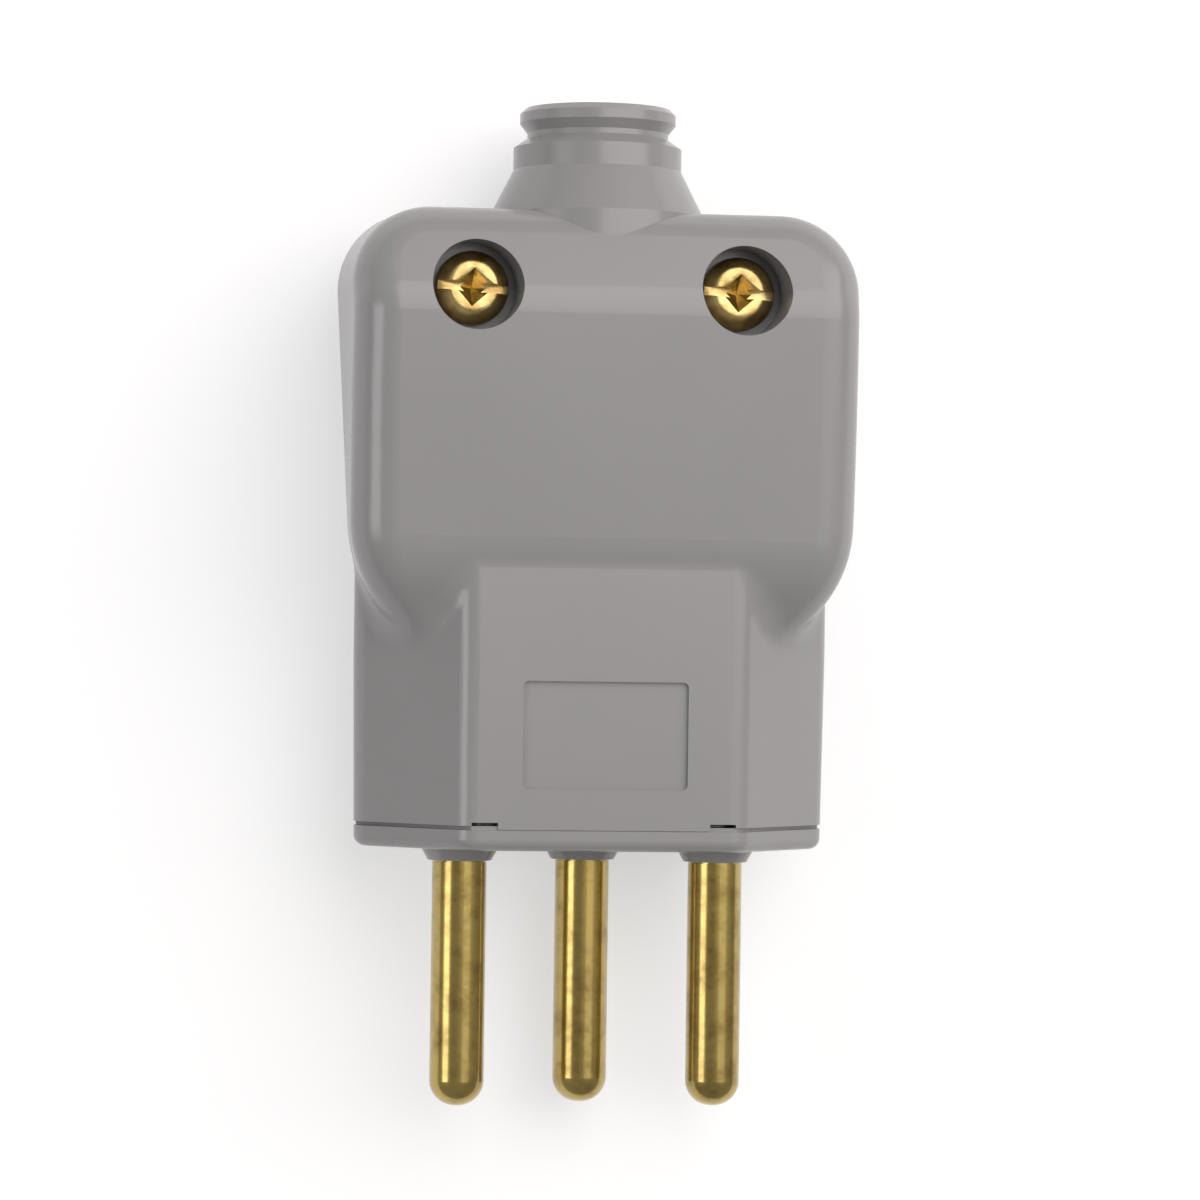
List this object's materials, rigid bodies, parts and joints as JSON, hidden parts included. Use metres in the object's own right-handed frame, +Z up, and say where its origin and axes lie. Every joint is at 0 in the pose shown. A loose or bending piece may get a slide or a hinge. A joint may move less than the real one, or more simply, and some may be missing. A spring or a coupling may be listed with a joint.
{
  "type": "grounded plug",
  "caption": "Rewireable grounded plug with solid round brass pins in line, a six-sided base, a shouldered two-part grey housing, counterbored brass cover screws and a ribbed cord neck.",
  "frame": {"origin": "centre of the engagement face, midway between the line and neutral pins", "axes": "+X to the right across the pins seen from the screw side, +Y along the plug towards the cord neck, +Z up out of the screw side; the plug lies on its flat back and the pins point to -Y"},
  "size_m": [0.0382, 0.0733, 0.0186],
  "materials": {
    "grey_plastic": "moulded mid-grey, semi-gloss",
    "inner_plastic": "moulded pale grey, matte",
    "pin_brass": "turned, bright",
    "screw_brass": "machined, bright",
    "zinc_steel": "zinc plated"
  },
  "bodies": {
    "root": {"front_cover": "grey_plastic", "rear_cover": "grey_plastic", "pin_carrier": "grey_plastic", "pin_retainer": "inner_plastic", "cord_clamp": "inner_plastic", "line_pin": "pin_brass", "neutral_pin": "pin_brass", "earth_pin": "pin_brass", "cover_screw_left": "screw_brass", "cover_screw_right": "screw_brass", "cover_nut_left": "screw_brass", "cover_nut_right": "screw_brass", "line_terminal_screw": "screw_brass", "neutral_terminal_screw": "screw_brass", "earth_terminal_screw": "screw_brass", "line_clamp_washer": "screw_brass", "neutral_clamp_washer": "screw_brass", "earth_clamp_washer": "screw_brass", "cord_clamp_screw_left": "zinc_steel", "cord_clamp_screw_right": "zinc_steel"}
  },
  "joints": []
}
